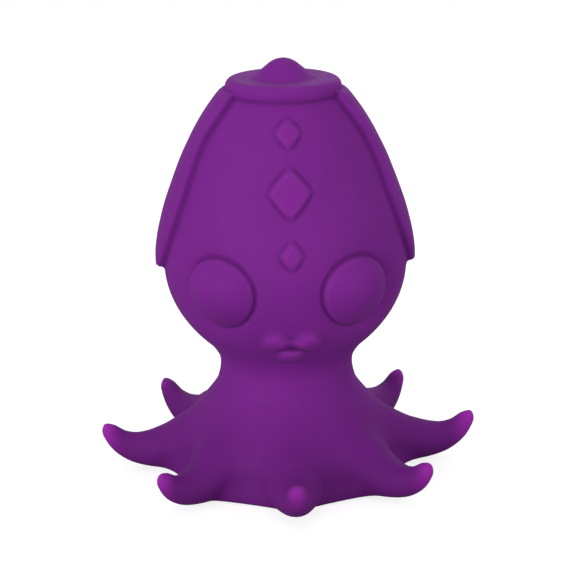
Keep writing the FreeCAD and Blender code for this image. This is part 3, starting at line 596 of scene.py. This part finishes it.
def liftArms(points, normals):
    sector = sectorOf(points)
    for i, name in enumerate(armNames):
        out = outwards(i)
        mine = (sector == i) & (points @ out > armPlan["cut"]) & (points[:, 2] < armPlan["cutTop"])
        weight = ease(points[mine] @ out, armPlan["cut"], armPlan["bent"])
        lift, stretch, widen = armLifts[name]
        angle = weight * math.radians(lift)
        cos, sin = np.cos(angle), np.sin(angle)
        pivot = out * hinge["out"] + np.array([0, 0, hinge["height"]])
        for rows, centre in ((points, pivot), (normals, np.zeros(3))):
            off = rows[mine] - centre
            along, up = off @ out, off[:, 2]
            newAlong, newUp = along * cos - up * sin, along * sin + up * cos
            shift = (newAlong - along)[:, None] * out
            shift[:, 2] += newUp - up
            rows[mine] = rows[mine] + shift
        points[mine] += (weight * stretch)[:, None] * out
        aside = np.array([-out[1], out[0], 0.0])
        wider = 1 + weight * (widen - 1)
        points[mine] += ((wider - 1) * (points[mine] @ aside))[:, None] * aside
        normals[mine] += ((1 / wider - 1) * (normals[mine] @ aside))[:, None] * aside


def closedPiece(points, normals, quads, chosen):
    # the chosen quads as a mesh of their own, with each open rim closed by a fan
    part = quads[chosen]
    used, flat = np.unique(part, return_inverse=True)
    part = flat.reshape(part.shape)
    ends = np.stack([part, np.roll(part, -1, axis=1)], axis=2).reshape(-1, 2)
    key = ends[:, 0].astype(np.int64) * len(used) + ends[:, 1]
    back = ends[:, 1].astype(np.int64) * len(used) + ends[:, 0]
    rim = ends[~np.isin(key, back)]
    verts, norms = list(points[used]), list(normals[used])
    faces = [tuple(q) for q in part]
    for loop in rimLoops(rim):
        centre = np.mean([verts[i] for i in loop], axis=0)
        verts.append(centre)
        norms.append(centre * np.array([1, 1, 0]))
        tip = len(verts) - 1
        faces += [(b, a, tip) for a, b in zip(loop, loop[1:] + loop[:1])]
    return np.array(verts), np.array(norms), faces, used


def rimLoops(rim):
    follow = {}
    for a, b in rim.tolist():
        follow.setdefault(a, []).append(b)
    loops = []
    while follow:
        start = next(iter(follow))
        loop, here = [], start
        while here in follow:
            loop.append(here)
            ends = follow[here]
            after = ends.pop()
            if not ends:
                del follow[here]
            here = after
        loops.append(loop)
    return loops


def meshObject(name, verts, faces):
    mesh = bpy.data.meshes.new(name)
    mesh.from_pydata((np.asarray(verts) * mm).tolist(), [], [tuple(map(int, f)) for f in faces])
    mesh.update()
    mesh.polygons.foreach_set("use_smooth", [True] * len(mesh.polygons))
    piece = bpy.data.objects.new(name, mesh)
    scene.collection.objects.link(piece)
    return piece


def evaluatedMesh(piece):
    depsgraph = bpy.context.evaluated_depsgraph_get()
    return bpy.data.meshes.new_from_object(piece.evaluated_get(depsgraph), depsgraph=depsgraph)


def thinOut(piece, share):
    # drops the triangles that flat places don't need, and gives back the points in sculpting units
    modifier = piece.modifiers.new("thinOut", "DECIMATE")
    modifier.ratio = share
    mesh = evaluatedMesh(piece)
    piece.modifiers.clear()
    piece.data = mesh
    places = np.empty(3 * len(mesh.vertices))
    mesh.vertices.foreach_get("co", places)
    return places.reshape(-1, 3) / mm


def paint(piece, name, values):
    piece.data.attributes.new(name, "FLOAT", "POINT").data.foreach_set("value", values.astype(np.float32))


# where each painted light and shade starts and is full, in millimetres or in bend
paintedLightPlan = {
    "thin": (43.5, 50),         # painted glow: out along the arms, where light gets through the silicone
    "low": (7, 25),             # painted shade: heights over which the skirt goes from darker to full colour
    # painted shade in creases
    "crease": (0.1, 1.1),
    # painted highlight on ridges
    "ridge": (0.08, 1.3),
    "raised": (0.2, 0.9),       # painted highlight: rise of the diamonds and lips, which are painted lighter
    "lipShare": 0.5,
    "faceTurn": 0.6, "faceBottom": 34,
}


# painted glow: the arm tips are painted lighter where light gets through the silicone
def paintedTipGlow(points):
    out = np.hypot(points[:, 0], points[:, 1])
    return ease(out, *paintedLightPlan["thin"]) * (points[:, 2] < armPlan["cutTop"])


# painted highlight: how far the diamonds and lips stand out, which paints them lighter
def raised(points):
    x, y, z = points.T
    turn = np.arctan2(x, -y)
    rise = diamondRise(turn, z, steepness(bodyCurve, z)) + paintedLightPlan["lipShare"] * mouthRise(turn, z)
    inFront = (np.abs(turn) < paintedLightPlan["faceTurn"]) & (z > paintedLightPlan["faceBottom"])
    return ease(rise, *paintedLightPlan["raised"]) * inFront


def bend(points, reach=0.6):
    # below zero in a crease and above zero on a ridge
    total = -6 * skinField(*points.T)
    for axis in range(3):
        for side in (-reach, reach):
            step = np.zeros(3)
            step[axis] = side
            total += skinField(*(points + step).T)
    return total / reach ** 2


def siliconeSkin():
    s = Shader("purpleSilicone")
    cloud = s.noise(38, 3)
    grain = s.noise(2600, 2)
    mottle = s.noise(240, 4)
    dust = s.ramp(s.noise(900, 5, rough=0.7), [(0.64, 0.0), (0.74, 1.0)])
    base = s.mix(s.ramp(cloud, [(0.3, 0.0), (0.7, 1.0)]), (0.236, 0.021, 0.316), (0.212, 0.018, 0.295))
    # painted shade: the skirt and arms are darker towards the bottom
    base = s.mix(s.attribute("low") * 0.66, base, (0.135, 0.010, 0.180))
    # painted highlight on the raised diamonds and lips
    base = s.mix(s.attribute("raised") * 0.45, base, (0.300, 0.024, 0.370))
    # painted glow at the arm tips
    base = s.mix(s.attribute("thin") * 1.0, base, (0.40, 0.022, 0.47))
    # painted shade in creases
    base = s.mix(s.attribute("crease") * 0.42, base, (0.06, 0.004, 0.09))
    # painted highlight on ridges
    base = s.mix(s.attribute("ridge") * 0.15, base, (0.34, 0.05, 0.42))
    base = s.mix(dust * 0.03, base, (0.5, 0.35, 0.55))
    s.set(color=base, roughness=0.58 + 0.10 * mottle + 0.08 * grain, ior=1.42, scatter=0.2,
          scatterRadius=(1.0, 0.2, 0.9), scatterScale=0.002, specular=0.16, sheen=0.03, sheenRoughness=0.4,
          sheenTint=(0.85, 0.6, 0.95))
    s.bump(grain * 0.7 + mottle * 0.5, 0.12, 0.00012)
    return s.material


def buildSkin():
    step = gridPlan["step"]
    grid, low = sampleField(step)
    points, quads = netFromGrid(grid, low, step)
    del grid
    points = settle(points, quads)
    normals = unitRows(gradient(points))
    bends = bend(points)
    print("skin meshed:", len(points), "points,", len(quads), "quads")
    middle = points[quads].mean(axis=1)
    sector = sectorOf(middle)
    out = np.array([outwards(i) for i in range(8)])
    along = (middle * out[sector]).sum(axis=1)
    isArm = (along > armPlan["cut"]) & (middle[:, 2] < armPlan["cutTop"])
    liftArms(points, normals)
    rubber = siliconeSkin()
    pieces = {}
    parts = [("silicone_body", ~isArm)]
    parts += [("arm_" + armNames[i], isArm & (sector == i)) for i in range(8)]
    for name, chosen in parts:
        verts, norms, faces, used = closedPiece(points, normals, quads, chosen)
        piece = meshObject("skin_" + name, verts, faces)
        shape = np.concatenate([bends[used], np.zeros(len(verts) - len(used))])
        share = gridPlan["triangles"] / (2 * len(faces))
        if share < 1:
            verts = thinOut(piece, share)
            norms, shape = gradient(verts), bend(verts)
        piece.data.normals_split_custom_set_from_vertices(unitRows(norms).tolist())
        # painted glow at the arm tips
        paint(piece, "thin", paintedTipGlow(verts))
        # painted shade, darker towards the bottom
        paint(piece, "low", 1 - ease(verts[:, 2], *paintedLightPlan["low"]))
        # painted highlight on the raised diamonds and lips
        paint(piece, "raised", raised(verts))
        # painted shade in creases
        paint(piece, "crease", ease(-shape, *paintedLightPlan["crease"]))
        # painted highlight on ridges
        paint(piece, "ridge", ease(shape, *paintedLightPlan["ridge"]))
        piece.data.materials.append(rubber)
        pieces[name] = piece
        print(piece.name, len(piece.data.polygons), "faces")
    return pieces


def rideSkin(pieces):
    body = pieces["silicone_body"]
    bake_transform(body)
    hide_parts("silicone_skin", "button_dome")
    for i, name in enumerate(armNames):
        piece = pieces["arm_" + name]
        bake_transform(piece)
        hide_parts("arm_" + name)


# ---- finishes of the CAD parts that stay
def mouldedPlastic(name, light, dark, rough=0.42, grain=0.12, scale=4200):
    s = Shader(name)
    cloud = s.noise(130, 3)
    spark = s.noise(scale, 2)
    scuff = s.ramp(s.noise(650, 5, rough=0.7), [(0.66, 0.0), (0.76, 1.0)])
    base = s.mix(s.ramp(cloud, [(0.35, 0.0), (0.7, 1.0)]), light, dark)
    scuffed = tuple(min(1.0, c * 1.6 + 0.03) for c in light)
    s.set(color=s.mix(scuff * 0.15, base, scuffed),
          roughness=rough + 0.10 * cloud + 0.12 * scuff, ior=1.46, specular=0.45)
    s.bump(spark + scuff * 0.4, grain, 0.00004)
    return s.material


def softRubber(name, light, dark):
    s = Shader(name)
    cloud = s.noise(220, 4)
    powder = s.ramp(s.noise(1500, 5, rough=0.7), [(0.55, 0.0), (0.75, 1.0)])
    base = s.mix(cloud, light, dark)
    s.set(color=s.mix(powder * 0.2, base, (0.16, 0.16, 0.16)), roughness=0.72 + 0.15 * powder,
          specular=0.3)
    s.bump(powder + cloud, 0.15, 0.00006)
    return s.material


def cellFoam(name, light, dark):
    s = Shader(name)
    cells = s.add("ShaderNodeTexVoronoi", None, {"Vector": s.place, "Scale": 2200})
    pits = s.ramp(Num(s, cells.outputs["Distance"]), [(0.1, 0.0), (0.6, 1.0)])
    # painted shade: the foam is darker down in its pits
    s.set(color=s.mix(pits, light, dark), roughness=0.95, specular=0.1, sheen=0.2)
    s.bump(1 - pits, 0.6, 0.0002)
    return s.material


def workedMetal(name, light, dark, rough=0.28, lay=(1, 1, 1), wear=0.2):
    # lay squeezes the grain along one axis, so that tool marks run across it
    s = Shader(name)
    marks = s.noise(1400, 4, place=s.stretched(lay))
    stain = s.ramp(s.noise(180, 5, rough=0.65), [(0.45, 0.0), (0.75, 1.0)])
    stained = tuple(c * 0.45 for c in dark)
    s.set(color=s.mix(stain * wear, s.mix(marks, light, dark), stained), metallic=1.0,
          roughness=rough + 0.14 * marks + 0.12 * stain)
    s.bump(marks, 0.10, 0.00003)
    return s.material


def circuitBoard(name, mask, copper):
    s = Shader(name)
    wave = s.add("ShaderNodeTexWave", {"wave_type": "BANDS", "bands_direction": "DIAGONAL"},
                 {"Vector": s.place, "Scale": 260, "Distortion": 3.0, "Detail": 1.0})
    traces = s.ramp(Num(s, wave.outputs["Fac"]), [(0.72, 0.0), (0.76, 1.0)])
    dots = s.add("ShaderNodeTexVoronoi", None, {"Vector": s.place, "Scale": 420, "Randomness": 0.7})
    pads = s.ramp(Num(s, dots.outputs["Distance"]), [(0.16, 1.0), (0.2, 0.0)])
    tint = s.mix(traces * 0.55, mask, copper)
    s.set(color=s.mix(pads, tint, (0.75, 0.73, 0.68)), metallic=pads * 0.9,
          roughness=0.34 + 0.1 * s.noise(900, 2), coat=0.3)
    s.bump(traces * 0.6 + pads, 0.3, 0.00004)
    return s.material


def shrunkFilm(name, light, dark):
    s = Shader(name)
    wrinkles = s.noise(420, 4, place=s.stretched((1, 1, 0.15)))
    shade = s.ramp(s.noise(90, 2), [(0.4, 0.0), (0.6, 1.0)])
    s.set(color=s.mix(shade, light, dark), roughness=0.24 + 0.12 * wrinkles, coat=0.5, specular=0.5)
    s.bump(wrinkles, 0.35, 0.0001)
    return s.material


def woundWire(name, light, dark):
    s = Shader(name)
    wave = s.add("ShaderNodeTexWave", {"wave_type": "BANDS", "bands_direction": "X"},
                 {"Vector": s.place, "Scale": 1900, "Distortion": 0.6})
    turns = Num(s, wave.outputs["Fac"])
    # painted shade: the windings are darker in the grooves between turns
    s.set(color=s.mix(turns, dark, light), metallic=0.85, roughness=0.3 + 0.1 * s.noise(1200, 2), coat=0.4)
    s.bump(turns, 0.7, 0.00015)
    return s.material


def clearLens(name):
    s = Shader(name)
    swirl = s.noise(2400, 3)
    glow = s.ramp(s.noise(500, 1), [(0.3, 0.0), (0.8, 1.0)])
    s.set(color=s.mix(glow, (0.95, 0.93, 0.82), (0.80, 0.82, 0.86)), roughness=0.08 + 0.1 * swirl,
          specular=0.6, coat=0.6)
    s.bump(swirl, 0.1, 0.00003)
    return s.material


def plasticFinishes():
    plastic = mouldedPlastic
    return {
        "casing_plastic": plastic("casingPlastic", (0.74, 0.73, 0.70), (0.66, 0.65, 0.62), 0.5),
        "base_plastic": plastic("footPlastic", (0.085, 0.014, 0.120), (0.062, 0.010, 0.090), 0.46, 0.3, 2600),
        "button_plastic": plastic("buttonPlastic", (0.72, 0.72, 0.70), (0.64, 0.64, 0.62)),
        "chip_black": plastic("chipEpoxy", (0.022, 0.022, 0.024), (0.012, 0.012, 0.013), 0.55, 0.3),
        "socket_white": plastic("socketNylon", (0.80, 0.78, 0.72), (0.72, 0.70, 0.64)),
        "motor_cap_plastic": plastic("capNylon", (0.70, 0.69, 0.65), (0.60, 0.59, 0.55)),
        "lead_red": plastic("redInsulation", (0.50, 0.02, 0.02), (0.40, 0.012, 0.012), 0.35, 0.05),
        "lead_black": plastic("blackInsulation", (0.020, 0.020, 0.022), (0.010, 0.010, 0.011), 0.35, 0.05),
    }


def metalFinishes():
    metal = workedMetal
    return {
        "screw_steel": metal("zincedScrew", (0.62, 0.62, 0.63), (0.48, 0.49, 0.50), 0.3),
        "contact_gold": metal("goldContact", (0.90, 0.66, 0.28), (0.80, 0.55, 0.20), 0.18, wear=0.1),
        "magnet_nickel": metal("nickelPlate", (0.72, 0.71, 0.69), (0.62, 0.61, 0.60), 0.14),
        "motor_steel": metal("drawnCan", (0.56, 0.56, 0.57), (0.46, 0.46, 0.47), 0.3, lay=(0.1, 1, 1)),
        "bush_bronze": metal("sinteredBronze", (0.52, 0.32, 0.16), (0.38, 0.22, 0.11), 0.5),
        "ferrite": metal("pressedFerrite", (0.06, 0.06, 0.065), (0.03, 0.03, 0.035), 0.65),
        "shaft_steel": metal("groundShaft", (0.66, 0.66, 0.67), (0.56, 0.56, 0.57), 0.16, lay=(8, 1, 1)),
        "weight_brass": metal("turnedBrass", (0.60, 0.48, 0.22), (0.48, 0.38, 0.17), 0.25, lay=(8, 1, 1)),
    }


def otherFinishes():
    return {
        "seal_rubber": softRubber("sealRubber", (0.030, 0.030, 0.032), (0.016, 0.016, 0.018)),
        "foam": cellFoam("padFoam", (0.07, 0.07, 0.07), (0.02, 0.02, 0.02)),
        "board_green": circuitBoard("solderMask", (0.018, 0.16, 0.06), (0.05, 0.30, 0.12)),
        "cell_sleeve": shrunkFilm("cellFilm", (0.05, 0.13, 0.42), (0.035, 0.10, 0.34)),
        "winding_copper": woundWire("windings", (0.78, 0.34, 0.16), (0.34, 0.12, 0.05)),
        "led_lens": clearLens("ledResin"),
    }


def finishCadParts():
    finishes = {**plasticFinishes(), **metalFinishes(), **otherFinishes()}
    for part in frame["record"]["subparts"]:
        node = frame["nodes"][part["node"]]
        finish = finishes.get(part["material_slot"])
        if finish is None:
            continue
        for slot in node.material_slots:
            slot.material = finish
        if not node.material_slots:
            node.data.materials.append(finish)


# ---- foot screws: one sculpted screw, set round the foot's circle
screwPlan = {
    "count": 3,
    "circle": 17.2,
    "low": 0.7,             # where the heads start
    "head": 1.9, "tall": 1.2, "edge": 0.35,
    "arm": 1.2, "slot": 0.27, "deep": 0.6,          # the cross recess
    "lean": 0.12, "leanStart": 0.3,                 # how the recess's walls lean in
    "core": 0.80, "thread": 0.20, "pitch": 0.8,
    "end": 5.4, "taper": 0.7, "tipShare": 0.45,
    "rings": 26, "spokes": 72, "shankRings": 56,
    "seed": 4,
}


def headHeight(plan, x, y):
    # the pan's face looks down, with a cross recess
    fall = max(0.0, math.hypot(x, y) - plan["head"] + plan["edge"]) / plan["edge"]
    crown = plan["edge"] * (1 - math.sqrt(max(0.0, 1 - fall * fall)))
    inside = min(plan["slot"] - min(abs(x), abs(y)), plan["arm"] - max(abs(x), abs(y)))
    return crown + plan["deep"] * min(1.0, max(0.0, inside / plan["lean"] + plan["leanStart"]))


def threadRadius(plan, height, turn):
    # one ridge that climbs a pitch in each turn, and a tapered end
    ridge = max(0.0, math.cos(2 * math.pi * height / plan["pitch"] - turn))
    end = min(1.0, (plan["end"] - height) / plan["taper"])
    taper = plan["tipShare"] + (1 - plan["tipShare"]) * end
    return (plan["core"] + plan["thread"] * ridge) * taper


def screwRows(plan):
    # circles of points from the middle of the head's face to the end of the shank
    turns = [2 * math.pi * k / plan["spokes"] for k in range(plan["spokes"])]
    rows = []
    for i in range(1, plan["rings"] + 1):
        r = plan["head"] * i / plan["rings"]
        around = [(r * math.cos(t), r * math.sin(t)) for t in turns]
        rows.append([(x, y, headHeight(plan, x, y)) for x, y in around])
    rows.append([(x, y, plan["tall"]) for x, y, _ in rows[-1]])
    for i in range(plan["shankRings"] + 1):
        height = plan["tall"] + (plan["end"] - plan["tall"]) * i / plan["shankRings"]
        radii = [threadRadius(plan, height, t) for t in turns]
        rows.append([(r * math.cos(t), r * math.sin(t), height) for r, t in zip(radii, turns)])
    return rows


def screwMesh(plan):
    mesh = bpy.data.meshes.new("footScrew")
    form = bmesh.new()
    middle = form.verts.new((0, 0, headHeight(plan, 0, 0) * mm))
    rows = [[form.verts.new((x * mm, y * mm, z * mm)) for x, y, z in row] for row in screwRows(plan)]
    for k in range(plan["spokes"]):
        after = (k + 1) % plan["spokes"]
        form.faces.new((middle, rows[0][after], rows[0][k]))
        for inner, outer in zip(rows, rows[1:]):
            form.faces.new((inner[k], inner[after], outer[after], outer[k]))
    form.faces.new(rows[-1])
    form.normal_update()
    form.to_mesh(mesh)
    form.free()
    return mesh


screwSockets = {
    "Geometry": "NodeSocketGeometry",
    "Screw": "NodeSocketObject",
    "Count": "NodeSocketInt",
    "Radius": "NodeSocketFloat",
    "Height": "NodeSocketFloat",
    "Finish": "NodeSocketMaterial",
    "Seed": "NodeSocketInt",
}

screwNodes = {
    "given": "NodeGroupInput",
    "ring": "GeometryNodeMeshCircle",
    "raised": "ShaderNodeCombineXYZ",
    "lift": "GeometryNodeTransform",
    "screw": "GeometryNodeObjectInfo",
    "turn": "FunctionNodeRandomValue",
    "spin": "ShaderNodeCombineXYZ",
    "place": "GeometryNodeInstanceOnPoints",
    "solid": "GeometryNodeRealizeInstances",
    "finish": "GeometryNodeSetMaterial",
    "result": "NodeGroupOutput",
}

screwWires = [
    ("given", "Count", "ring", "Vertices"),
    ("given", "Radius", "ring", "Radius"),
    ("given", "Height", "raised", "Z"),
    ("ring", "Mesh", "lift", "Geometry"),
    ("raised", "Vector", "lift", "Translation"),
    ("lift", "Geometry", "place", "Points"),
    ("given", "Screw", "screw", "Object"),
    ("screw", "Geometry", "place", "Instance"),
    ("given", "Seed", "turn", "Seed"),
    ("turn", 1, "spin", "Z"),
    ("spin", "Vector", "place", "Rotation"),
    ("place", "Instances", "solid", "Geometry"),
    ("solid", "Geometry", "finish", "Geometry"),
    ("given", "Finish", "finish", "Material"),
    ("finish", "Geometry", "result", "Geometry"),
]


def screwTree():
    tree = bpy.data.node_groups.new("screwRing", "GeometryNodeTree")
    for label, kind in screwSockets.items():
        tree.interface.new_socket(label, in_out="INPUT", socket_type=kind)
    tree.interface.new_socket("Geometry", in_out="OUTPUT", socket_type="NodeSocketGeometry")
    nodes = {name: tree.nodes.new(kind) for name, kind in screwNodes.items()}
    nodes["turn"].data_type = "FLOAT"
    nodes["turn"].inputs[3].default_value = math.pi
    nodes["lift"].inputs["Rotation"].default_value = (0, 0, math.pi / 2)
    for start, output, end, entry in screwWires:
        tree.links.new(nodes[start].outputs[output], nodes[end].inputs[entry])
    return tree


def grown(name, tree, values):
    # runs a node tree and keeps its result as a plain mesh
    holder = bpy.data.objects.new(name, bpy.data.meshes.new(name))
    scene.collection.objects.link(holder)
    modifier = holder.modifiers.new(name, "NODES")
    modifier.node_group = tree
    for item in tree.interface.items_tree:
        if item.in_out == "INPUT" and item.name in values:
            modifier[item.identifier] = values[item.name]
    mesh = evaluatedMesh(holder)
    holder.modifiers.clear()
    holder.data = mesh
    return holder


def makeFootScrews():
    screw = bpy.data.objects.new("footScrew", screwMesh(screwPlan))
    scene.collection.objects.link(screw)
    steel = workedMetal("zincedHeads", (0.62, 0.62, 0.63), (0.46, 0.47, 0.48), 0.26)
    screws = grown("foot_screws", screwTree(), {
        "Screw": screw, "Count": screwPlan["count"], "Radius": screwPlan["circle"] * mm,
        "Height": screwPlan["low"] * mm, "Finish": steel, "Seed": screwPlan["seed"]})
    bpy.data.objects.remove(screw)
    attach(screws, "body")
    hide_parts("base_screws")
    print("foot screws:", len(screws.data.polygons), "faces")


def floorPaper():
    s = Shader("palePaper")
    tooth = s.noise(400, 4)
    seen = s.add("ShaderNodeLightPath").outputs["Is Camera Ray"]
    paper = s.mix(tooth, (0.44, 0.44, 0.44), (0.46, 0.46, 0.46))
    s.set(color=s.mix(seen, (0.35, 0.35, 0.35), paper), roughness=0.8, specular=0.1)
    s.set(glowColor=s.mix(seen, (0, 0, 0), (1, 1, 1)), glow=0.8)
    s.bump(tooth, 0.05, 0.0002)
    return s.material


roomLight = {"around": 0.42, "seen": 1.0}
floorPlan = {"radius": 6.0, "spokes": 96, "drop": 0.0001}


def makeFloor():
    mesh = bpy.data.meshes.new("floor")
    form = bmesh.new()
    bmesh.ops.create_circle(form, cap_ends=True, radius=floorPlan["radius"], segments=floorPlan["spokes"])
    form.to_mesh(mesh)
    form.free()
    floor = bpy.data.objects.new("floor", mesh)
    floor.location.z = -floorPlan["drop"]
    scene.collection.objects.link(floor)
    mesh.materials.append(floorPaper())


def makeRoom():
    # white to the eye and dimmer as a light
    world = bpy.data.worlds.new("softRoom")
    world.use_nodes = True
    tree = world.node_tree
    background = tree.nodes["Background"]
    rays = tree.nodes.new("ShaderNodeLightPath")
    strength = tree.nodes.new("ShaderNodeMapRange")
    strength.inputs["To Min"].default_value = roomLight["around"]
    strength.inputs["To Max"].default_value = roomLight["seen"]
    tree.links.new(rays.outputs["Is Camera Ray"], strength.inputs["Value"])
    tree.links.new(strength.outputs["Result"], background.inputs["Strength"])
    background.inputs["Color"].default_value = (1, 1, 1, 1)
    scene.world = world


makeCamera(cameraPlan)
for name, plan in lightPlan.items():
    makeLight(name, plan)
makeFloor()
makeRoom()
scene.view_settings.view_transform = "Standard"
print("camera, light and floor made")
rideSkin(buildSkin())
finishCadParts()
makeFootScrews()
print("CAD parts finished")
